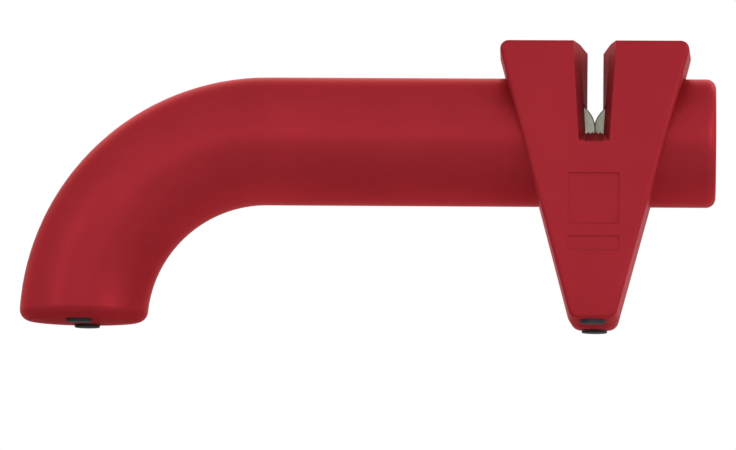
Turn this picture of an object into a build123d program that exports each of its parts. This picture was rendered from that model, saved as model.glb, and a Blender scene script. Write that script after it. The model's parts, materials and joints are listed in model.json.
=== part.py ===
"""A pull-through knife sharpener: a bent tube grip, a V-shaped head across it, and two
interleaved stacks of steel discs that cross in the knife slot.

Millimetres. +X runs along the grip towards its closed end, +Z is up, and the front is -Y.
The origin is on the surface that the feet stand on, under the middle of the whole object.
Both casings part at the plane Y = 0 and are held by screws driven from the rear.
"""
from build123d import *
import os
from math import cos, radians, sin, tan

# ---- Grip ----
overall_length = 195.0
grip_diameter = 36.0
grip_wall = 2.6
bend_radius = 51.2          # of the centreline
end_rim_radius = 3.2        # round on the rim of the standing end
cap_rim_radius = 2.7        # round on the rim of the closed end
foot_stand = 0.9            # how far the feet stand out of the casings

# ---- Head ----
head_inset = 33.8           # from the closed end of the grip to the middle of the head
head_height = 78.42
head_tip_width = 13.15      # across the narrow bottom, before its corners are rounded
head_flare = 15.0           # degrees that each side leans out
head_depth = 44.0
head_wall = 2.4
head_draft = 1.5            # degrees that the sides draw in from the parting plane
head_top_corner = 2.9
head_tip_corner = 3.6
head_edge_radius = 1.2
grip_clearance = 0.15       # between the grip and the openings that it passes through

# ---- Knife slot ----
slot_width = 4.4            # at the parting plane
throat_half_depth = 11.75   # half the length of the throat, where the discs stand
throat_top_width = 8.4      # at the ends of the throat
throat_floor_width = 5.0
mouth_top_width = 12.1      # at the front and rear faces
mouth_floor_width = 8.5
throat_floor_depth = 25.0   # from the top of the head down to the floor of the slot
mouth_floor_depth = 28.5
slot_wall = 1.2
slot_floor_wall = 1.6
slot_lip = 0.6              # chamfer along the top edges of the mouth
slot_middle_lip = 1.6       # the same at the parting plane, where a blade is dropped in
flute_radius = 0.42
flute_pitch = 1.1
flute_count = 5
flute_lead_in = 0.1         # share of a flute by which it starts inside the throat
flute_overrun = 1.3         # times its length, so that it runs out past the face
panel_size = 14.2           # plain square panel sunk in the front face
panel_height = 34.3         # of the panel's middle, above the standing surface
strip_length = 14.4         # plain strip sunk below the panel
strip_width = 4.0
strip_height = 21.9
panel_sink = 0.4
strip_sink = 0.3
panel_corner = 0.6

# ---- Discs, axles and carrier ----
disc_diameter = 16.0
disc_thickness = 2.6
disc_gap = 0.3              # between a disc and its neighbours on the other axle
discs_per_side = 4
disc_overlap = 0.54         # how far the two stacks reach past each other
disc_axis_depth = 24.3      # from the top of the head down to the axles
disc_edge_chamfer = 0.25
disc_room = 0.5             # clearance around the discs in the casings
axle_diameter = 3.0
axle_running_clearance = 0.06
press_clearance = 0.02      # between an axle and what is fixed on it
spacer_diameter = 9.0
end_play = 0.25
clip_diameter = 5.4
clip_thickness = 0.8
clip_play = 0.15
axle_tip = 0.6              # how far an axle stands out of its clips
carrier_length = 34.4
carrier_end_wall = 1.2
carrier_cheek = 2.5
carrier_floor = 2.4
carrier_floor_gap = 1.6     # between the discs and the carrier's floor
cheek_rise = 3.7            # of the cheeks above the axles
carrier_play = 0.15
cheek_gap = 0.15            # between a cheek and the slot walls that it stands beside

# ---- Screws, bosses and pegs ----
screw_diameter = 3.0
screw_length = 16.0
screw_head_diameter = 5.6
screw_head_height = 2.0
screw_head_round = 0.45     # share of the head's height
screw_tip_chamfer = 0.2     # share of the screw's diameter
screw_seat = 8.0            # from the parting plane to the underside of the screw heads
screw_hole_clearance = 0.2
screw_recess_clearance = 0.3
drive_slot_width = 0.8
drive_slot_length = 3.2
drive_slot_depth = 1.2
rear_boss_diameter = 8.8
front_boss_diameter = 6.4
pilot_depth = 9.5
peg_diameter = 2.6
peg_boss_diameter = 5.2
peg_length = 3.0
peg_clearance = 0.1
elbow_screw_angle = 45.0    # degrees round the bend from its upper end
straight_screw_steps = (25.0, 63.0)   # from the bend to the screws in the straight run
cap_screw_inset = 8.4       # from the closed end
peg_steps = (6.0, 44.0)     # from the bend to the pegs in the straight run
upper_screw_offset = 13.0   # from the middle of the head
upper_screw_depth = 7.4     # from the top of the head
lower_screw_height = 19.0
head_peg_height = 29.4
rib_steps = (15.0, 34.0, 54.0)        # from the bend to the stiffening ribs
rib_thickness = 1.6
rib_depth = 3.0

# ---- Feet ----
foot_diameter = 7.3
foot_tip_diameter = 7.1
foot_tip_round = 0.25
foot_ring_gap = 0.27        # around a foot in its recess
foot_recess = 1.1
foot_stem_diameter = 3.6
foot_barb_diameter = 4.6
foot_barb_height = 1.2
foot_barb_taper = 20.0      # degrees
foot_clearance = 0.05
foot_barb_gap = 0.1         # between the wall and the barb behind it
grip_foot_offset = 10.0     # from the parting plane
head_foot_offset = 16.9

# ---- Worked out from the sizes above ----
grip_radius = grip_diameter / 2
grip_inner_radius = grip_radius - grip_wall
left_end = -overall_length / 2
right_end = overall_length / 2
standing_x = left_end + grip_radius
bend_x = standing_x + bend_radius
bend_z = foot_stand
axis_z = bend_z + bend_radius
head_x = right_end - head_inset
head_base = foot_stand - head_foot_offset * tan(radians(head_draft))
head_top = head_base + head_height
half_depth = head_depth / 2
disc_radius = disc_diameter / 2
disc_axis_z = head_top - disc_axis_depth
disc_offset = disc_radius - disc_overlap / 2
layer_pitch = disc_thickness + disc_gap
layer_count = 2 * discs_per_side
stack_half = (layer_count * layer_pitch - disc_gap) / 2
pocket_radius = disc_radius + disc_room
cheek_inner = throat_half_depth
cheek_outer = cheek_inner + carrier_cheek
carrier_base = disc_axis_z - disc_radius - carrier_floor_gap - carrier_floor
carrier_top = disc_axis_z + cheek_rise
cut_margin = 5.0            # how far a cut runs past the surface that it opens
slot_overrun = 1.0          # how far the slot runs past the front and rear faces

FRONT = -1
REAR = 1
LEFT = -1
RIGHT = 1

os.makedirs("parts", exist_ok=True)


def write(part, name):
    """Label a finished piece and write its STEP file."""
    part.label = name
    export_step(part, "parts/" + name + ".step")


def across(y):
    """A plane that faces -Y at the given Y, with local x along X and local y along Z."""
    return Plane.XZ.offset(-y)


def rod(x, z, diameter, start, end):
    """A round bar along Y at (x, z), from Y = start to Y = end."""
    with BuildPart() as bar:
        with BuildSketch(across(start)):
            with Locations((x, z)):
                Circle(diameter / 2)
        extrude(amount=start - end)
    return bar.part


def block(x_range, y_range, z_range):
    """A rectangular block between pairs of X, Y and Z."""
    middle = [(low + high) / 2 for low, high in (x_range, y_range, z_range)]
    size = [high - low for low, high in (x_range, y_range, z_range)]
    with BuildPart() as brick:
        with Locations(tuple(middle)):
            Box(*size)
    return brick.part


# ---------------------------------------------------------------- grip
def grip_rod(radius, trim):
    """A solid rod along the grip's centreline, short of each end of the grip by trim."""
    with BuildPart() as solid:
        with BuildLine(Plane.XZ) as centreline:
            straight = Line((right_end - trim, axis_z), (bend_x, axis_z))
            JernArc(straight @ 1, (-1, 0), bend_radius, 90)
        with BuildSketch(Plane(origin=centreline.line @ 0, z_dir=centreline.line % 0)):
            Circle(radius)
        sweep()
        if trim:
            split(bisect_by=Plane.XY.offset(foot_stand + trim), keep=Keep.TOP)
    return solid.part


def elbow_point(angle):
    """X and Z of the centreline, the given degrees round the bend from its upper end."""
    turn = radians(angle)
    return bend_x - bend_radius * sin(turn), bend_z + bend_radius * cos(turn)


def grip_outside():
    """The grip's outer form, with its two rims rounded."""
    with BuildPart() as form:
        add(grip_rod(grip_radius, 0))
        fillet(form.faces().sort_by(Axis.X)[-1].edges(), cap_rim_radius)
        fillet(form.faces().sort_by(Axis.Z)[0].edges(), end_rim_radius)
    return form.part


grip_screws = [elbow_point(elbow_screw_angle)]
grip_screws += [(bend_x + step, axis_z) for step in straight_screw_steps]
grip_screws += [(right_end - cap_screw_inset, axis_z)]
grip_pegs = [(bend_x + step, axis_z) for step in peg_steps]
head_screws = [
    (head_x - upper_screw_offset, head_top - upper_screw_depth),
    (head_x + upper_screw_offset, head_top - upper_screw_depth),
    (head_x, lower_screw_height),
]
head_pegs = [(head_x, head_peg_height)]


def foot_hole(x, y):
    """The recess and stem hole that a foot is pressed into, from below."""
    with BuildPart() as hole:
        with BuildSketch(Plane.XY.offset(foot_stand - cut_margin)):
            with Locations((x, y)):
                Circle(foot_diameter / 2 + foot_ring_gap)
        extrude(amount=cut_margin + foot_recess)
        with BuildSketch(Plane.XY.offset(foot_stand)):
            with Locations((x, y)):
                Circle(foot_stem_diameter / 2 + foot_clearance)
        extrude(amount=grip_wall + cut_margin)
    return hole.part


def bosses(side, screws, pegs, reach):
    """Screw bosses and peg bosses from the parting plane out to reach, as solids to add."""
    diameter = front_boss_diameter if side == FRONT else rear_boss_diameter
    with BuildPart() as posts:
        for x, z in screws:
            add(rod(x, z, diameter, 0, side * reach))
        for x, z in pegs:
            add(rod(x, z, peg_boss_diameter, 0, side * reach))
    return posts.part


def boss_holes(side, screws, pegs, reach):
    """Pilot holes on the front side; screw holes, head recesses and peg sockets on the rear."""
    with BuildPart() as holes:
        for x, z in screws:
            if side == FRONT:
                add(rod(x, z, screw_diameter + 2 * press_clearance, cut_margin, -pilot_depth))
            else:
                add(rod(x, z, screw_diameter + 2 * screw_hole_clearance, -cut_margin, screw_seat))
                recess = screw_head_diameter + 2 * screw_recess_clearance
                add(rod(x, z, recess, screw_seat, reach + cut_margin))
        if side == REAR:
            for x, z in pegs:
                socket = peg_diameter + 2 * peg_clearance
                add(rod(x, z, socket, -cut_margin, peg_length + peg_clearance))
    return holes.part


def grip_ribs():
    """Ring ribs that stiffen the straight run, ending level with the inside of the wall."""
    with BuildPart() as ribs:
        for step in rib_steps:
            with BuildSketch(Plane.YZ.offset(bend_x + step)):
                with Locations((0, axis_z)):
                    Circle(grip_inner_radius)
                    Circle(grip_inner_radius - rib_depth, mode=Mode.SUBTRACT)
            extrude(amount=rib_thickness / 2, both=True)
    return ribs.part


def half_space(side):
    """A block that holds everything on one side of the parting plane."""
    reach = overall_length
    y_range = (-reach, 0) if side == FRONT else (0, reach)
    return block((-reach, reach), y_range, (-reach, reach))


def grip_shell(side):
    """One half of the hollow grip, with its bosses, ribs and saddle for the carrier."""
    with BuildPart() as fittings:
        add(bosses(side, grip_screws, grip_pegs, grip_radius))
        add(grip_ribs())
        add(grip_rod(grip_inner_radius, grip_wall), mode=Mode.INTERSECT)
    with BuildPart() as shell:
        add(grip_outside())
        add(grip_rod(grip_inner_radius, grip_wall), mode=Mode.SUBTRACT)
        add(fittings.part)
        add(half_space(side), mode=Mode.INTERSECT)
        add(boss_holes(side, grip_screws, grip_pegs, grip_radius), mode=Mode.SUBTRACT)
        add(foot_hole(standing_x, side * grip_foot_offset), mode=Mode.SUBTRACT)
        saddle_half = carrier_length / 2 + carrier_play
        saddle = block(
            (head_x - saddle_half, head_x + saddle_half),
            (-grip_diameter, grip_diameter),
            (carrier_base, head_top),
        )
        add(saddle, mode=Mode.SUBTRACT)
        if side == FRONT:
            for x, z in grip_pegs:
                add(rod(x, z, peg_diameter, -peg_length, peg_length))
    return shell.part


write(grip_shell(FRONT), "handle_shell_front")
write(grip_shell(REAR), "handle_shell_rear")


# ---------------------------------------------------------------- head
def head_form(side, inset):
    """Half of the V-shaped head, drawn in all round by inset, narrowing away from Y = 0."""
    tip_half = head_tip_width / 2
    top_half = tip_half + head_height * tan(radians(head_flare))
    with BuildPart() as form:
        with BuildSketch(Plane.XZ) as outline:
            with BuildLine():
                Polyline(
                    (head_x - tip_half, head_base),
                    (head_x + tip_half, head_base),
                    (head_x + top_half, head_top),
                    (head_x - top_half, head_top),
                    close=True,
                )
            make_face()
            fillet(outline.vertices().group_by(Axis.Y)[0], head_tip_corner)
            fillet(outline.vertices().group_by(Axis.Y)[-1], head_top_corner)
            if inset:
                offset(amount=-inset, mode=Mode.REPLACE)
        extrude(amount=half_depth - inset, taper=head_draft)
        if not inset:
            fillet(form.faces().sort_by(Axis.Y)[0].edges(), head_edge_radius)
        if side == REAR:
            mirror(about=Plane.XZ, mode=Mode.REPLACE)
    return form.part


def slot_widths(depth):
    """Half-widths of the slot at its floor and at the head's top, and its floor's height."""
    if depth <= throat_half_depth:
        share = depth / throat_half_depth
        inner = (slot_width, slot_width, throat_floor_depth)
        outer = (throat_floor_width, throat_top_width, throat_floor_depth)
    else:
        share = (depth - throat_half_depth) / (half_depth - throat_half_depth)
        inner = (throat_floor_width, throat_top_width, throat_floor_depth)
        outer = (mouth_floor_width, mouth_top_width, mouth_floor_depth)
    floor, top, drop = [a + (b - a) * share for a, b in zip(inner, outer)]
    return floor / 2, top / 2, head_top - drop


def slot_section(side, depth, wall, floor_wall, lip):
    """The slot's outline across Y at the given depth, grown by a wall all round."""
    floor_half, top_half, floor_z = slot_widths(depth)
    lean = (top_half - floor_half) / (head_top - floor_z)
    rise = cut_margin
    low = floor_z - floor_wall
    knee = head_top - lip
    knee_half = floor_half + lean * (knee - floor_z) + wall
    rim_half = knee_half + lean * rise + (lip + rise if lip else 0)
    low_half = floor_half + wall
    with BuildSketch(across(side * depth)) as section:
        with BuildLine():
            Polyline(
                (head_x - low_half, low),
                (head_x + low_half, low),
                (head_x + knee_half, knee),
                (head_x + rim_half, head_top + rise),
                (head_x - rim_half, head_top + rise),
                (head_x - knee_half, knee),
                close=True,
            )
        make_face()
    return section.sketch


def slot_form(side, wall, floor_wall, lip, middle_lip):
    """The slot of one half: a throat from the parting plane, then a mouth to the face."""
    stations = (0, throat_half_depth, half_depth + slot_overrun)
    with BuildPart() as form:
        for start, end in zip(stations, stations[1:]):
            near = slot_section(side, start, wall, floor_wall, lip if start else middle_lip)
            far = slot_section(side, end, wall, floor_wall, lip)
            loft([near.face(), far.face()], ruled=True)
    return form.part


def floor_flutes(side):
    """Fine flutes down the sloping floor of the mouth, from the throat to the face."""
    start_z = head_top - throat_floor_depth
    end_z = head_top - mouth_floor_depth
    fall = Vector(0, side * (half_depth - throat_half_depth), end_z - start_z)
    with BuildPart() as flutes:
        for index in range(flute_count):
            x = head_x + (index - (flute_count - 1) / 2) * flute_pitch
            start = Vector(x, side * throat_half_depth, start_z) - fall * flute_lead_in
            with BuildSketch(Plane(origin=start, x_dir=(1, 0, 0), z_dir=fall)):
                Circle(flute_radius)
            extrude(amount=fall.length * flute_overrun)
    return flutes.part


def disc_room_form():
    """The space that the discs turn in, open below where the two stacks part."""
    with BuildPart() as room:
        for side in (LEFT, RIGHT):
            x = head_x + side * disc_offset
            add(rod(x, disc_axis_z, 2 * pocket_radius, -throat_half_depth, throat_half_depth))
        add(block(
            (head_x - disc_offset, head_x + disc_offset),
            (-throat_half_depth, throat_half_depth),
            (carrier_base, disc_axis_z),
        ))
    return room.part


def carrier_room():
    """The space of the disc carrier, which a slim grip's opening may not hold by itself."""
    half_length = carrier_length / 2 + carrier_play
    reach = cheek_outer + carrier_play
    return block(
        (head_x - half_length, head_x + half_length),
        (-reach, reach),
        (carrier_base - carrier_play, carrier_top + carrier_play),
    )


def clip_room(side):
    """Pockets for the clips of both axles beside the walls of the slot."""
    ends = (side * cheek_outer, side * (cheek_outer + clip_thickness + 2 * clip_play))
    with BuildPart() as pockets:
        for axle_side in (LEFT, RIGHT):
            x = head_x + axle_side * disc_offset
            add(rod(x, disc_axis_z, clip_diameter + 2 * clip_play, min(ends), max(ends)))
    return pockets.part


def head_cover(side):
    """One half of the hollow head, with the slot's walls, bosses and the grip's opening."""
    inner_reach = half_depth - head_wall
    with BuildPart() as hollow:
        add(head_form(side, head_wall))
        add(slot_form(side, slot_wall, slot_floor_wall, 0, 0), mode=Mode.SUBTRACT)
        add(bosses(side, head_screws, head_pegs, inner_reach), mode=Mode.SUBTRACT)
    with BuildPart() as grip_opening:
        with BuildSketch(Plane.YZ.offset(bend_x)):
            with Locations((0, axis_z)):
                Circle(grip_radius + grip_clearance)
        extrude(amount=overall_length)
        add(carrier_room())
    with BuildPart() as slot_walls:
        add(slot_form(side, slot_wall, slot_floor_wall, 0, 0))
        add(head_form(side, head_wall / 2), mode=Mode.INTERSECT)
    with BuildPart() as cover:
        add(head_form(side, 0))
        add(hollow.part, mode=Mode.SUBTRACT)
        add(grip_opening.part, mode=Mode.SUBTRACT)
        add(slot_walls.part)
        add(slot_form(side, 0, 0, slot_lip, slot_middle_lip), mode=Mode.SUBTRACT)
        add(floor_flutes(side), mode=Mode.SUBTRACT)
        add(disc_room_form(), mode=Mode.SUBTRACT)
        add(clip_room(side), mode=Mode.SUBTRACT)
        add(boss_holes(side, head_screws, head_pegs, half_depth), mode=Mode.SUBTRACT)
        add(foot_hole(head_x, side * head_foot_offset), mode=Mode.SUBTRACT)
        if side == FRONT:
            for x, z in head_pegs:
                add(rod(x, z, peg_diameter, -peg_length, peg_length))
            with BuildSketch(across(-half_depth)):
                with Locations((head_x, panel_height)):
                    RectangleRounded(panel_size, panel_size, panel_corner)
            extrude(amount=-panel_sink, mode=Mode.SUBTRACT)
            with BuildSketch(across(-half_depth)):
                with Locations((head_x, strip_height)):
                    RectangleRounded(strip_length, strip_width, panel_corner)
            extrude(amount=-strip_sink, mode=Mode.SUBTRACT)
    return cover.part


write(head_cover(FRONT), "head_cover_front")
write(head_cover(REAR), "head_cover_rear")

# ---------------------------------------------------------------- disc carrier
with BuildPart() as disc_carrier:
    half_length = carrier_length / 2
    add(block(
        (head_x - half_length, head_x + half_length),
        (-cheek_outer, cheek_outer),
        (carrier_base, carrier_top),
    ))
    add(block(
        (head_x - half_length + carrier_end_wall, head_x + half_length - carrier_end_wall),
        (-cheek_inner, cheek_inner),
        (carrier_base + carrier_floor, carrier_top + cut_margin),
    ), mode=Mode.SUBTRACT)
    notch_floor_half, notch_top_half, notch_floor = slot_widths(cheek_outer)
    notch_share = (carrier_top - notch_floor) / (head_top - notch_floor)
    notch_half = notch_floor_half + (notch_top_half - notch_floor_half) * notch_share
    notch_half += slot_wall + cheek_gap
    add(block(
        (head_x - notch_half, head_x + notch_half),
        (-cheek_outer, cheek_outer),
        (notch_floor - slot_floor_wall - cheek_gap, carrier_top + cut_margin),
    ), mode=Mode.SUBTRACT)
    for side in (LEFT, RIGHT):
        bore = axle_diameter + 2 * axle_running_clearance
        x = head_x + side * disc_offset
        add(rod(x, disc_axis_z, bore, -cheek_outer, cheek_outer), mode=Mode.SUBTRACT)
write(disc_carrier.part, "disc_carrier")


# ---------------------------------------------------------------- disc stacks
def ring(side, diameter, bore_clearance, start, length):
    """A ring on the left or right axle, from Y = start, length long."""
    x = head_x + side * disc_offset
    with BuildPart() as collar:
        add(rod(x, disc_axis_z, diameter, start, start + length))
        bore = axle_diameter + 2 * bore_clearance
        add(rod(x, disc_axis_z, bore, start, start + length), mode=Mode.SUBTRACT)
    return collar.part


def layer_start(layer):
    """Y of the front face of a layer, counted from the front of the interleaved stacks."""
    return -stack_half + layer * layer_pitch


def disc(side, index):
    """One steel disc with its rims broken."""
    first = 0 if side == LEFT else 1
    start = layer_start(first + 2 * index)
    with BuildPart() as wheel:
        add(ring(side, disc_diameter, press_clearance, start, disc_thickness))
        rims = wheel.edges().filter_by(GeomType.CIRCLE).group_by(SortBy.RADIUS)[-1]
        chamfer(rims, disc_edge_chamfer)
    return wheel.part


for side, word in ((LEFT, "left"), (RIGHT, "right")):
    first = 0 if side == LEFT else 1
    axle_x = head_x + side * disc_offset
    for index in range(discs_per_side):
        write(disc(side, index), word + "_disc_" + str(index + 1))

    spacer_length = 2 * layer_pitch - disc_thickness
    with BuildPart() as spacers:
        for index in range(discs_per_side - 1):
            start = layer_start(first + 2 * index) + disc_thickness
            add(ring(side, spacer_diameter, press_clearance, start, spacer_length))
    write(spacers.part, word + "_spacers")

    # The collar fills the room between the stack and the cheek that it doesn't reach.
    collar_length = cheek_inner - end_play - (stack_half - layer_pitch)
    collar_start = stack_half - layer_pitch if side == LEFT else end_play - cheek_inner
    write(ring(side, spacer_diameter, press_clearance, collar_start, collar_length), word + "_end_collar")

    clip_start = cheek_outer + clip_play
    axle_half = clip_start + clip_thickness + axle_tip
    with BuildPart() as axle:
        add(rod(axle_x, disc_axis_z, axle_diameter, -axle_half, axle_half))
        chamfer(axle.edges().filter_by(GeomType.CIRCLE), disc_edge_chamfer)
    write(axle.part, word + "_axle")

    with BuildPart() as clips:
        add(ring(side, clip_diameter, press_clearance, clip_start, clip_thickness))
        rear_clip = -clip_start - clip_thickness
        add(ring(side, clip_diameter, press_clearance, rear_clip, clip_thickness))
    write(clips.part, word + "_axle_clips")


# ---------------------------------------------------------------- screws
def screw(x, z):
    """A pan-head screw driven from the rear, with a cross recess in its head."""
    head_end = screw_seat + screw_head_height
    with BuildPart() as fastener:
        add(rod(x, z, screw_head_diameter, screw_seat, head_end))
        rim = fastener.edges().filter_by(GeomType.CIRCLE).sort_by(Axis.Y)[-1]
        fillet(rim, screw_head_height * screw_head_round)
        add(rod(x, z, screw_diameter, screw_seat - screw_length, screw_seat))
        tip = fastener.edges().filter_by(GeomType.CIRCLE).sort_by(Axis.Y)[0]
        chamfer(tip, screw_diameter * screw_tip_chamfer)
        with BuildSketch(across(head_end)):
            with Locations((x, z)):
                Rectangle(drive_slot_length, drive_slot_width)
                Rectangle(drive_slot_width, drive_slot_length)
        extrude(amount=drive_slot_depth, mode=Mode.SUBTRACT)
    return fastener.part


for name, places in (("handle_screws", grip_screws), ("head_screws", head_screws)):
    with BuildPart() as screws:
        for x, z in places:
            add(screw(x, z))
    write(screws.part, name)


# ---------------------------------------------------------------- feet
def foot(x, y, wall):
    """A rubber foot: a tapered pad in its recess, a stem through the wall and a barb."""
    seat = foot_stand + foot_recess
    inside = foot_stand + wall + foot_barb_gap
    with BuildPart() as pad:
        with BuildSketch(Plane.XY):
            with Locations((x, y)):
                Circle(foot_tip_diameter / 2)
        with BuildSketch(Plane.XY.offset(foot_stand)):
            with Locations((x, y)):
                Circle(foot_diameter / 2)
        loft()
        fillet(pad.faces().sort_by(Axis.Z)[0].edges(), foot_tip_round)
        with BuildSketch(Plane.XY.offset(foot_stand)):
            with Locations((x, y)):
                Circle(foot_diameter / 2)
        extrude(amount=foot_recess)
        with BuildSketch(Plane.XY.offset(seat)):
            with Locations((x, y)):
                Circle(foot_stem_diameter / 2)
        extrude(amount=inside - seat)
        with BuildSketch(Plane.XY.offset(inside)):
            with Locations((x, y)):
                Circle(foot_barb_diameter / 2)
        extrude(amount=foot_barb_height, taper=foot_barb_taper)
    return pad.part


feet = (
    ("foot_handle_front", standing_x, -grip_foot_offset, grip_wall),
    ("foot_handle_rear", standing_x, grip_foot_offset, grip_wall),
    ("foot_head_front", head_x, -head_foot_offset, head_wall),
    ("foot_head_rear", head_x, head_foot_offset, head_wall),
)
for name, x, y, wall in feet:
    write(foot(x, y, wall), name)
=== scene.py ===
# %% [markdown]
# # A red pull-through knife sharpener
#
# The construction comes from CAD: two shells for the bent grip, two covers for the V-shaped head, and
# the steel discs, axles, screws and rubber feet that sit between them. Every edge, seam and recess is
# already in those pieces, so this script adds no shape to them. It gives each piece its finish, and
# then sets up the floor, the lamps and the camera.
#
# Everything is in metres, in the CAD frame: +X along the grip, +Z up, and the front faces -Y.

# %% Load the frame
import json
import bpy
import numpy as np
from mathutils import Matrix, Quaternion, Vector


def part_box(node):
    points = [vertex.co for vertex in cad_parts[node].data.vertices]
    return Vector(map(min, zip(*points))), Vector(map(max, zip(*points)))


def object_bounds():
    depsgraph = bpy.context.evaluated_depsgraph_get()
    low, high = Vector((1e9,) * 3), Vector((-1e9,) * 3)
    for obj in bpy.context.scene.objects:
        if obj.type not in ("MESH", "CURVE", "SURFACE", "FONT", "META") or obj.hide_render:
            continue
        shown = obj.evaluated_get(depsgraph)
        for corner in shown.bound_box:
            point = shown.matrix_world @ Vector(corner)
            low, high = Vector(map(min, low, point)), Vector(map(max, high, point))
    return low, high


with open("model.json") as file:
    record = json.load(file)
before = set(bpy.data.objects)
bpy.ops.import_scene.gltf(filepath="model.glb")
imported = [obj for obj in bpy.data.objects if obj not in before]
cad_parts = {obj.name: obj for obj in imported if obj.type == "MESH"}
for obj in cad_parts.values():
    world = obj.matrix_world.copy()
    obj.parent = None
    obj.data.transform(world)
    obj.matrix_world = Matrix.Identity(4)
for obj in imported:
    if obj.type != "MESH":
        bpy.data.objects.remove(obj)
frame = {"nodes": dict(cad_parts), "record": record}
cad_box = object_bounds()
nodes = frame["nodes"]
slot_of = {entry["node"]: entry["material_slot"] for entry in frame["record"]["subparts"]}
print("CAD pieces:", len(nodes), "in slots:", sorted(set(slot_of.values())))

# %% [markdown]
# ## Reference places
#
# Later cells aim the lamps at the middle of the object and centre a pattern on the head. Both places
# are worked out from the frame, so a change of size in CAD moves everything here with it.

# %% Reference places
head_low, head_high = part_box("head_cover_front")
head_x = (head_low.x + head_high.x) / 2
object_low, object_high = (Vector(corner) for corner in cad_box)
object_middle = (object_low + object_high) / 2
print("head middle x:", round(head_x, 4), "object from", tuple(object_low), "to", tuple(object_high))

# %% [markdown]
# ## Small helpers for materials
#
# A material is a short list of nodes and links. The same few lines would come back in every one of
# them: make a node, set its inputs, join two values with a sum. These helpers hold those lines, so
# that each material cell keeps only what is particular to its finish.


# %% Material helpers
def new_material(name):
    """An empty node material, returned with its node tree and its Principled shader."""
    material = bpy.data.materials.new(name)
    material.use_nodes = True
    tree = material.node_tree
    tree.nodes.clear()
    shader = tree.nodes.new("ShaderNodeBsdfPrincipled")
    output = tree.nodes.new("ShaderNodeOutputMaterial")
    tree.links.new(shader.outputs["BSDF"], output.inputs["Surface"])
    return material, tree, shader


def add_node(tree, kind, **settings):
    """A node of the given kind with attributes, and inputs given as {name: value}, set."""
    node = tree.nodes.new(kind)
    for name, value in settings.pop("inputs", {}).items():
        node.inputs[name].default_value = value
    for name, value in settings.items():
        setattr(node, name, value)
    return node


def calculate(tree, operation, first, second=None, clamp=False):
    """The result of a Math node on two values, each a socket or a number."""
    node = add_node(tree, "ShaderNodeMath", operation=operation, use_clamp=clamp)
    for index, value in enumerate((first, second)):
        if value is None:
            continue
        if isinstance(value, (int, float)):
            node.inputs[index].default_value = value
        else:
            tree.links.new(value, node.inputs[index])
    return node.outputs[0]


# %% Group helpers
FLOAT = "NodeSocketFloat"
COLOR = "NodeSocketColor"
VECTOR = "NodeSocketVector"


def new_group(name, inputs, outputs):
    """A shader node group with the named inputs {name: (type, default)} and outputs {name: type}."""
    group = bpy.data.node_groups.new(name, "ShaderNodeTree")
    for label, (kind, default) in inputs.items():
        socket = group.interface.new_socket(label, in_out="INPUT", socket_type=kind)
        socket.default_value = default
    for label, kind in outputs.items():
        group.interface.new_socket(label, in_out="OUTPUT", socket_type=kind)
    return group, group.nodes.new("NodeGroupInput"), group.nodes.new("NodeGroupOutput")


def use_group(tree, group, **values):
    """A copy of a node group in a material. Each input is set by its name, with _ for a space."""
    node = tree.nodes.new("ShaderNodeGroup")
    node.node_tree = group
    for name, value in values.items():
        node.inputs[name.replace("_", " ")].default_value = value
    return node


# %% [markdown]
# ## Shared effect: grain
#
# A mould for such a casing is roughened with sparks, and the plastic copies its pebbles. Ground steel
# and rubber have a grain too, only finer or coarser. A picture of grain could be wrapped round each
# piece, but it would need unwrapping and would stretch on the bend. Noise in space needs neither, and
# as a group with its scales as inputs it serves every finish.


# %% Grain group
def build_grain_group():
    """Height of a pebbled grain: fine noise, plus coarse noise times its share."""
    group, start, end = new_group(
        "surface_grain",
        {"Fine scale": (FLOAT, 2600.0), "Coarse scale": (FLOAT, 420.0), "Coarse share": (FLOAT, 0.3)},
        {"Height": FLOAT, "Speckle": FLOAT},
    )
    place = add_node(group, "ShaderNodeTexCoord")
    fine = add_node(group, "ShaderNodeTexNoise", inputs={"Detail": 2.0, "Roughness": 0.55})
    coarse = add_node(group, "ShaderNodeTexNoise", inputs={"Detail": 3.0, "Roughness": 0.5})
    for texture, label in ((fine, "Fine scale"), (coarse, "Coarse scale")):
        group.links.new(place.outputs["Object"], texture.inputs["Vector"])
        group.links.new(start.outputs[label], texture.inputs["Scale"])
    shared = calculate(group, "MULTIPLY", coarse.outputs["Fac"], start.outputs["Coarse share"])
    group.links.new(calculate(group, "ADD", fine.outputs["Fac"], shared), end.inputs["Height"])
    group.links.new(fine.outputs["Fac"], end.inputs["Speckle"])
    return group


grain_group = build_grain_group()
print("group:", grain_group.name)

# %% [markdown]
# ## Shared effect: drifting tone
#
# No real surface is one colour all over: the pigment flows unevenly into the mould, and hands leave
# their polish. A slow noise that moves between two close tones gives that, and a fine speckle keeps
# the change from looking like fog. Two tones are easier to choose than a colour and an amount.


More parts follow.
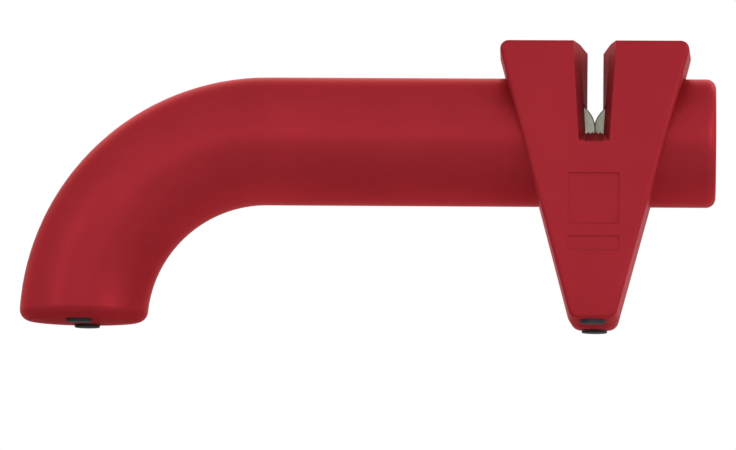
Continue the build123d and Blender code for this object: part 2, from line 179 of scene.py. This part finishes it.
# %% Tone group
def build_tone_group():
    """Deep plus (Bright minus Deep) times a share, where the share is slow noise plus fine speckle."""
    group, start, end = new_group(
        "tone_drift",
        {
            "Deep": (COLOR, (0.3, 0.02, 0.03, 1)),
            "Bright": (COLOR, (0.4, 0.03, 0.04, 1)),
            "Drift scale": (FLOAT, 28.0),
            "Speckle scale": (FLOAT, 900.0),
            "Speckle amount": (FLOAT, 0.25),
        },
        {"Color": COLOR},
    )
    noise_middle = 0.5
    place = add_node(group, "ShaderNodeTexCoord")
    drift = add_node(group, "ShaderNodeTexNoise", inputs={"Detail": 4.0, "Roughness": 0.6})
    speckle = add_node(group, "ShaderNodeTexNoise", inputs={"Detail": 2.0, "Roughness": 0.7})
    for texture, label in ((drift, "Drift scale"), (speckle, "Speckle scale")):
        group.links.new(place.outputs["Object"], texture.inputs["Vector"])
        group.links.new(start.outputs[label], texture.inputs["Scale"])
    offset = calculate(group, "SUBTRACT", speckle.outputs["Fac"], noise_middle)
    offset = calculate(group, "MULTIPLY", offset, start.outputs["Speckle amount"])
    stretch = add_node(group, "ShaderNodeMapRange", inputs={"From Min": 0.35, "From Max": 0.65})
    group.links.new(drift.outputs["Fac"], stretch.inputs["Value"])
    share = calculate(group, "ADD", stretch.outputs["Result"], offset, clamp=True)
    blend = add_node(group, "ShaderNodeMix", data_type="RGBA")
    group.links.new(share, blend.inputs["Factor"])
    group.links.new(start.outputs["Deep"], blend.inputs["A"])
    group.links.new(start.outputs["Bright"], blend.inputs["B"])
    group.links.new(blend.outputs["Result"], end.inputs["Color"])
    return group


tone_group = build_tone_group()
print("group:", tone_group.name)

# %% [markdown]
# ## Shared effect: rubbed edges
#
# Edges wear first, and even a new moulding has edges a little rounder than its drawing. The wear
# could be painted, but a mask worked out from the shape follows every edge by itself: a Bevel node
# gives a normal that is rounded near edges, and where it leans away from the true one, there is one.


# %% Rubbed edge group
def build_edge_group():
    """Mask of edges: (1 minus the dot product of rounded and true normal) times strength times noise.

    The rounded normal goes out too, so that a sharp CAD edge catches light like a real one.
    """
    group, start, end = new_group(
        "rubbed_edge",
        {"Radius": (FLOAT, 0.0004), "Strength": (FLOAT, 3.0), "Break up scale": (FLOAT, 700.0)},
        {"Mask": FLOAT, "Normal": VECTOR},
    )
    round_off = add_node(group, "ShaderNodeBevel", samples=4)
    group.links.new(start.outputs["Radius"], round_off.inputs["Radius"])
    surface = add_node(group, "ShaderNodeNewGeometry")
    alike = add_node(group, "ShaderNodeVectorMath", operation="DOT_PRODUCT")
    group.links.new(round_off.outputs["Normal"], alike.inputs[0])
    group.links.new(surface.outputs["Normal"], alike.inputs[1])
    lean = calculate(group, "SUBTRACT", 1.0, alike.outputs["Value"])
    strong = calculate(group, "MULTIPLY", lean, start.outputs["Strength"])
    place = add_node(group, "ShaderNodeTexCoord")
    patches = add_node(group, "ShaderNodeTexNoise", inputs={"Detail": 3.0})
    group.links.new(place.outputs["Object"], patches.inputs["Vector"])
    group.links.new(start.outputs["Break up scale"], patches.inputs["Scale"])
    mask = calculate(group, "MULTIPLY", strong, patches.outputs["Fac"], clamp=True)
    group.links.new(mask, end.inputs["Mask"])
    group.links.new(round_off.outputs["Normal"], end.inputs["Normal"])
    return group


edge_group = build_edge_group()
print("group:", edge_group.name)

# %% [markdown]
# ## Joining the effects
#
# The finishes below end in up to three joins: a base colour with worn edges mixed in, a roughness
# that wavers with the speckle, and a bump that carries the grain, on top of the rounded normal where
# there is one. They are written once here.


# %% Joins
def join_worn_colour(tree, shader, tone, edge, worn_colour, worn_share):
    """Base Color: the tone, moved towards the worn colour by the edge mask times the share."""
    worn = add_node(tree, "ShaderNodeMix", data_type="RGBA")
    worn.inputs["B"].default_value = worn_colour
    tree.links.new(calculate(tree, "MULTIPLY", edge.outputs["Mask"], worn_share), worn.inputs["Factor"])
    tree.links.new(tone.outputs["Color"], worn.inputs["A"])
    tree.links.new(worn.outputs["Result"], shader.inputs["Base Color"])


def speckled(tree, texture, lowest, reach):
    """A roughness that runs from its lowest value up by the speckle times the reach."""
    return calculate(tree, "ADD", calculate(tree, "MULTIPLY", texture.outputs["Speckle"], reach), lowest)


def join_bump(tree, shader, height, strength, depth, edge=None):
    """Normal: a bump of the given depth in metres, on the rounded normal where there is one."""
    bump = add_node(tree, "ShaderNodeBump", inputs={"Strength": strength, "Distance": depth})
    tree.links.new(height, bump.inputs["Height"])
    if edge:
        tree.links.new(edge.outputs["Normal"], bump.inputs["Normal"])
    tree.links.new(bump.outputs["Normal"], shader.inputs["Normal"])


# %% [markdown]
# ## Red moulded plastic
#
# The casings are moulded in a deep red plastic with a fine spark-eroded texture, which breaks every
# highlight into a soft satin glow. A plain plastic shader would put a white gloss over the red. Here
# the glow is as red as the body, so part of the reflection is made metallic, which takes the base
# colour, and the rest is tinted. The colour goes right through the plastic, so a rubbed edge is only
# a little paler. The grip and the head share one recipe, and the head's grain is flatter.


# %% Red plastic
def red_plastic(name, deep, bright, roughness, lustre, grain_depth):
    """Satin red plastic: drifting tone, pebbled bump, and edges rubbed a little paler and smoother."""
    rubbed_red = (0.52, 0.06, 0.07, 1)
    speckle_reach = 0.12
    rubbed_smoother = 0.08
    material, tree, shader = new_material(name)
    tone = use_group(tree, tone_group, Deep=deep, Bright=bright, Drift_scale=34.0)
    texture = use_group(tree, grain_group, Fine_scale=2300.0, Coarse_scale=520.0, Coarse_share=0.35)
    edge = use_group(tree, edge_group, Radius=0.0004, Strength=2.2)
    join_worn_colour(tree, shader, tone, edge, rubbed_red, worn_share=0.55)
    rough = speckled(tree, texture, roughness - speckle_reach / 2, speckle_reach)
    polish = calculate(tree, "MULTIPLY", edge.outputs["Mask"], rubbed_smoother)
    tree.links.new(calculate(tree, "SUBTRACT", rough, polish), shader.inputs["Roughness"])
    join_bump(tree, shader, texture.outputs["Height"], 0.35, grain_depth, edge)
    shader.inputs["Metallic"].default_value = lustre
    shader.inputs["Specular IOR Level"].default_value = 0.05
    shader.inputs["Specular Tint"].default_value = (1.0, 0.14, 0.17, 1)
    return material


bright_red = (0.38, 0.025, 0.035, 1)
grip_red = red_plastic("grip_red", (0.34, 0.022, 0.031, 1), bright_red, 0.38, lustre=0.5, grain_depth=0.00006)
head_red = red_plastic("head_red", (0.35, 0.022, 0.031, 1), bright_red, 0.46, lustre=0.4, grain_depth=0.00004)
print("materials:", grip_red.name, head_red.name)

# %% [markdown]
# ## Steel
#
# The discs are ground tool steel with a faint warm green cast and fine rings from turning. A wave
# texture could draw the rings, but its centre would have to be moved to each disc. The distance from
# the axle does the same in one step: its sine goes up and down once for each ring. The discs of one
# side share an axle, so they share a material. Pins, clips and screws use the same recipe.


# %% Ground steel
def ground_steel(name, dark, pale, centre, roughness, ring_pitch):
    """Steel with turned rings about an axis along Y: height is the sine of 2 pi distance / pitch."""
    speckle_reach = 0.2
    ring_height = 0.4
    material, tree, shader = new_material(name)
    place = add_node(tree, "ShaderNodeTexCoord")
    offset = add_node(tree, "ShaderNodeVectorMath", operation="SUBTRACT")
    offset.inputs[1].default_value = (centre[0], 0, centre[1])
    across = add_node(tree, "ShaderNodeVectorMath", operation="MULTIPLY")
    across.inputs[1].default_value = (1, 0, 1)
    distance = add_node(tree, "ShaderNodeVectorMath", operation="LENGTH")
    tree.links.new(place.outputs["Object"], offset.inputs[0])
    tree.links.new(offset.outputs["Vector"], across.inputs[0])
    tree.links.new(across.outputs["Vector"], distance.inputs[0])
    turns = calculate(tree, "MULTIPLY", distance.outputs["Value"], float(2 * np.pi / ring_pitch))
    rings = calculate(tree, "MULTIPLY", calculate(tree, "SINE", turns), ring_height)
    texture = use_group(tree, grain_group, Fine_scale=1800.0, Coarse_scale=300.0, Coarse_share=0.5)
    tone = use_group(tree, tone_group, Deep=dark, Bright=pale, Drift_scale=160.0, Speckle_scale=2500.0)
    tree.links.new(tone.outputs["Color"], shader.inputs["Base Color"])
    height = calculate(tree, "ADD", rings, texture.outputs["Height"])
    edge = use_group(tree, edge_group, Radius=0.0002, Strength=2.0)
    join_bump(tree, shader, height, 0.3, 0.00003, edge)
    tree.links.new(speckled(tree, texture, roughness - speckle_reach / 2, speckle_reach),
                   shader.inputs["Roughness"])
    shader.inputs["Metallic"].default_value = 0.85
    return material


def disc_centre(node):
    """X and Z of the middle of a round piece."""
    low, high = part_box(node)
    return (low.x + high.x) / 2, (low.z + high.z) / 2


# %% Steels
disc_dark, disc_pale = (0.27, 0.275, 0.215, 1), (0.36, 0.365, 0.30, 1)
pin_dark, pin_pale = (0.42, 0.42, 0.42, 1), (0.6, 0.6, 0.6, 1)
zinc_dark, zinc_pale = (0.5, 0.52, 0.55, 1), (0.7, 0.72, 0.75, 1)
head_foot = (head_x, 0.0)
left_steel, right_steel = (
    ground_steel(f"{side}_disc_steel", disc_dark, disc_pale, disc_centre(f"{side}_disc_1"), 0.34, 0.0005)
    for side in ("left", "right")
)
pin_steel = ground_steel("pin_steel", pin_dark, pin_pale, head_foot, 0.25, 0.0004)
zinc_steel = ground_steel("zinc_steel", zinc_dark, zinc_pale, head_foot, 0.3, 0.002)
print("steels:", left_steel.name, right_steel.name, pin_steel.name, zinc_steel.name)

# %% [markdown]
# ## Black rubber
#
# The feet are soft black rubber, pushed into their sockets. Rubber is never truly black, and its rims
# go grey where they scuff along a table. It takes the recipe of the plastic with a coarser pebble, a
# much rougher surface and a grey instead of a pale red on the worn edges.


# %% Black rubber
def black_rubber():
    """Matt black rubber: pebbled bump, with scuffed grey on the worn edges."""
    scuffed_grey = (0.16, 0.165, 0.16, 1)
    material, tree, shader = new_material("black_rubber")
    tone = use_group(tree, tone_group, Deep=(0.022, 0.024, 0.028, 1), Bright=(0.035, 0.037, 0.042, 1),
                     Drift_scale=200.0)
    texture = use_group(tree, grain_group, Fine_scale=3000.0, Coarse_scale=700.0, Coarse_share=0.6)
    edge = use_group(tree, edge_group, Radius=0.0003, Strength=3.0)
    join_worn_colour(tree, shader, tone, edge, scuffed_grey, worn_share=0.8)
    join_bump(tree, shader, texture.outputs["Height"], 0.5, 0.00006, edge)
    tree.links.new(speckled(tree, texture, 0.6, 0.15), shader.inputs["Roughness"])
    return material


rubber = black_rubber()
print("material:", rubber.name)

# %% [markdown]
# ## Natural nylon
#
# The rings that keep the discs apart are turned from undyed nylon, an off-white plastic with a waxy
# surface. They sit deep in the slot and hardly show, so a plain tone with a faint grain is enough.


# %% Natural nylon
def natural_nylon():
    """Waxy off-white nylon: a drifting tone and a faint grain."""
    material, tree, shader = new_material("natural_nylon")
    tone = use_group(tree, tone_group, Deep=(0.62, 0.6, 0.52, 1), Bright=(0.72, 0.7, 0.62, 1),
                     Drift_scale=120.0)
    texture = use_group(tree, grain_group, Fine_scale=2500.0)
    tree.links.new(tone.outputs["Color"], shader.inputs["Base Color"])
    tree.links.new(speckled(tree, texture, 0.4, 0.1), shader.inputs["Roughness"])
    join_bump(tree, shader, texture.outputs["Height"], 0.2, 0.00003)
    return material


spacer_nylon = natural_nylon()
print("material:", spacer_nylon.name)

# %% [markdown]
# ## Dress the pieces
#
# Each CAD piece keeps its shape and its slot, and takes the finish of that slot. The slot is in the
# record, so a table from slot to finish dresses them all. Only the discs differ within their slot,
# because the turned rings of each side are centred on that side's axle.

# %% Dress the pieces
finish_of_slot = {
    "grip_plastic": grip_red,
    "head_plastic": head_red,
    "carrier_plastic": head_red,
    "disc_steel": left_steel,
    "axle_steel": pin_steel,
    "spring_steel": pin_steel,
    "zinc_steel": zinc_steel,
    "spacer_plastic": spacer_nylon,
    "foot_rubber": rubber,
}
for name, piece in nodes.items():
    on_right_axle = name.startswith("right_disc")
    finish = right_steel if on_right_axle else finish_of_slot[slot_of[name]]
    piece.data.materials.clear()
    piece.data.materials.append(finish)
print("dressed", len(nodes), "pieces")

# %% [markdown]
# ## Floor
#
# The sharpener is seen from a little below its feet, so a floor that hid what is above it would hide
# everything. The floor is a plain pale sheet that is only there from above: its underside lets the
# eye and the lamps through. The side of a face that a ray meets comes from Geometry's Backfacing.


# %% Floor
def build_floor():
    """A wide flat sheet at the height of the feet, as one face that points up."""
    reach = 3.0
    pale_grey = (0.86, 0.86, 0.86, 1)
    mesh = bpy.data.meshes.new("floor")
    corners = [(-reach, -reach, 0), (reach, -reach, 0), (reach, reach, 0), (-reach, reach, 0)]
    mesh.from_pydata(corners, [], [(0, 1, 2, 3)])
    floor = bpy.data.objects.new("floor", mesh)
    bpy.context.scene.collection.objects.link(floor)
    material, tree, shader = new_material("pale_floor")
    shader.inputs["Base Color"].default_value = pale_grey
    shader.inputs["Roughness"].default_value = 0.9
    output = next(node for node in tree.nodes if node.type == "OUTPUT_MATERIAL")
    clear = add_node(tree, "ShaderNodeBsdfTransparent")
    side = add_node(tree, "ShaderNodeNewGeometry")
    rays = add_node(tree, "ShaderNodeLightPath")
    open_side = calculate(tree, "MAXIMUM", side.outputs["Backfacing"], rays.outputs["Is Shadow Ray"])
    blend = add_node(tree, "ShaderNodeMixShader")
    tree.links.new(open_side, blend.inputs["Fac"])
    tree.links.new(shader.outputs["BSDF"], blend.inputs[1])
    tree.links.new(clear.outputs["BSDF"], blend.inputs[2])
    tree.links.new(blend.outputs["Shader"], output.inputs["Surface"])
    mesh.materials.append(material)
    return floor


floor = build_floor()
print("floor:", floor.name, "at z =", 0)

# %% [markdown]
# ## Surroundings
#
# The background is white, but a world that shone white from all sides would wash out every shadow.
# The world therefore has two strengths: rays from the eye, from a glossy surface or through a clear
# one see white, and every other ray gets a dimmer even light.


# %% World
def build_world():
    """White to the eye and in reflections, and an even grey as a light."""
    seen_strength = 1.0
    light_strength = 0.54
    world = bpy.data.worlds.new("studio")
    world.use_nodes = True
    tree = world.node_tree
    tree.nodes.clear()
    output = tree.nodes.new("ShaderNodeOutputWorld")
    lighting, seen = (
        add_node(tree, "ShaderNodeBackground", inputs={"Color": (1, 1, 1, 1), "Strength": strength})
        for strength in (light_strength, seen_strength)
    )
    rays = add_node(tree, "ShaderNodeLightPath")
    direct = calculate(tree, "MAXIMUM", rays.outputs["Is Camera Ray"], rays.outputs["Is Glossy Ray"])
    direct = calculate(tree, "MAXIMUM", direct, rays.outputs["Is Transmission Ray"])
    blend = add_node(tree, "ShaderNodeMixShader")
    tree.links.new(direct, blend.inputs["Fac"])
    tree.links.new(lighting.outputs["Background"], blend.inputs[1])
    tree.links.new(seen.outputs["Background"], blend.inputs[2])
    tree.links.new(blend.outputs["Shader"], output.inputs["Surface"])
    bpy.context.scene.world = world
    return world


world = build_world()
print("world:", world.name)

# %% [markdown]
# ## Lamps
#
# A product like this is lit in a white tent with softboxes all round. One strong lamp would leave
# a single hard band on the tube. Many weak ones leave the two soft bands, the darker belly between
# them and the lifted underside that a round satin surface has in a tent. Each lamp is a wide area
# light, placed by the direction it shines from.


# %% Lamps
def direction(azimuth, elevation):
    """Unit vector from the object towards a viewer: azimuth 0 is in front, 90 is on the right."""
    turn, lift = np.radians(azimuth), np.radians(elevation)
    return Vector((np.sin(turn) * np.cos(lift), -np.cos(turn) * np.cos(lift), np.sin(lift)))


def softbox(name, azimuth, elevation, distance, width, height, power):
    """A rectangular area lamp that faces the object from the given direction."""
    lamp = bpy.data.lights.new(name, "AREA")
    lamp.shape = "RECTANGLE"
    lamp.size, lamp.size_y = width, height
    lamp.energy = power
    item = bpy.data.objects.new(name, lamp)
    bpy.context.scene.collection.objects.link(item)
    away = direction(azimuth, elevation)
    item.location = object_middle + away * distance
    item.rotation_euler = (-away).to_track_quat("-Z", "Y").to_euler()
    return item


lamps = [
    softbox("front top", 0, 46, distance=1.2, width=1.4, height=0.5, power=0.3),
    softbox("front", 0, 10, distance=1.2, width=1.0, height=0.5, power=0.7),
    softbox("left front", -47, 5, distance=1.2, width=0.5, height=1.0, power=1.2),
    softbox("right front", 50, 5, distance=1.2, width=0.5, height=1.0, power=2.9),
    softbox("low front", 0, -50, distance=1.2, width=1.4, height=0.6, power=1.1),
    softbox("below", 0, -89, distance=1.2, width=1.6, height=1.0, power=3.6),
    softbox("low back", 180, -45, distance=1.2, width=1.6, height=0.8, power=10.0),
    softbox("high back", 180, 35, distance=1.2, width=1.6, height=0.5, power=2.9),
    softbox("right side", 90, 10, distance=1.1, width=0.6, height=1.0, power=1.7),
]
print("lamps:", len(lamps), "with", round(sum(lamp.data.energy for lamp in lamps), 1), "watts in all")

# %% [markdown]
# ## Camera
#
# The view is flat, with almost no perspective, which takes a long lens from well away. It looks up at
# the object from just below its feet, which is why the undersides of the foot and of the head show.


# %% Camera
def build_camera():
    """A long lens in front, a little to the right and a little below the feet."""
    azimuth, elevation = 3.3, -5.69
    roll = 0.0118
    distance = 1.45
    target = Vector((0.00025, 0.0, 0.02865))
    lens = bpy.data.cameras.new("camera")
    lens.sensor_width = 36.0
    lens.lens = 252.7826
    lens.clip_end = 20
    camera = bpy.data.objects.new("camera", lens)
    bpy.context.scene.collection.objects.link(camera)
    away = direction(azimuth, elevation)
    camera.location = target + away * distance
    camera.rotation_mode = "QUATERNION"
    camera.rotation_quaternion = (-away).to_track_quat("-Z", "Y") @ Quaternion((0, 0, 1), roll)
    bpy.context.scene.camera = camera
    return camera


camera = build_camera()
bpy.context.scene.view_settings.view_transform = "Standard"
print("camera:", round(camera.data.lens), "mm lens at", tuple(round(part, 3) for part in camera.location))
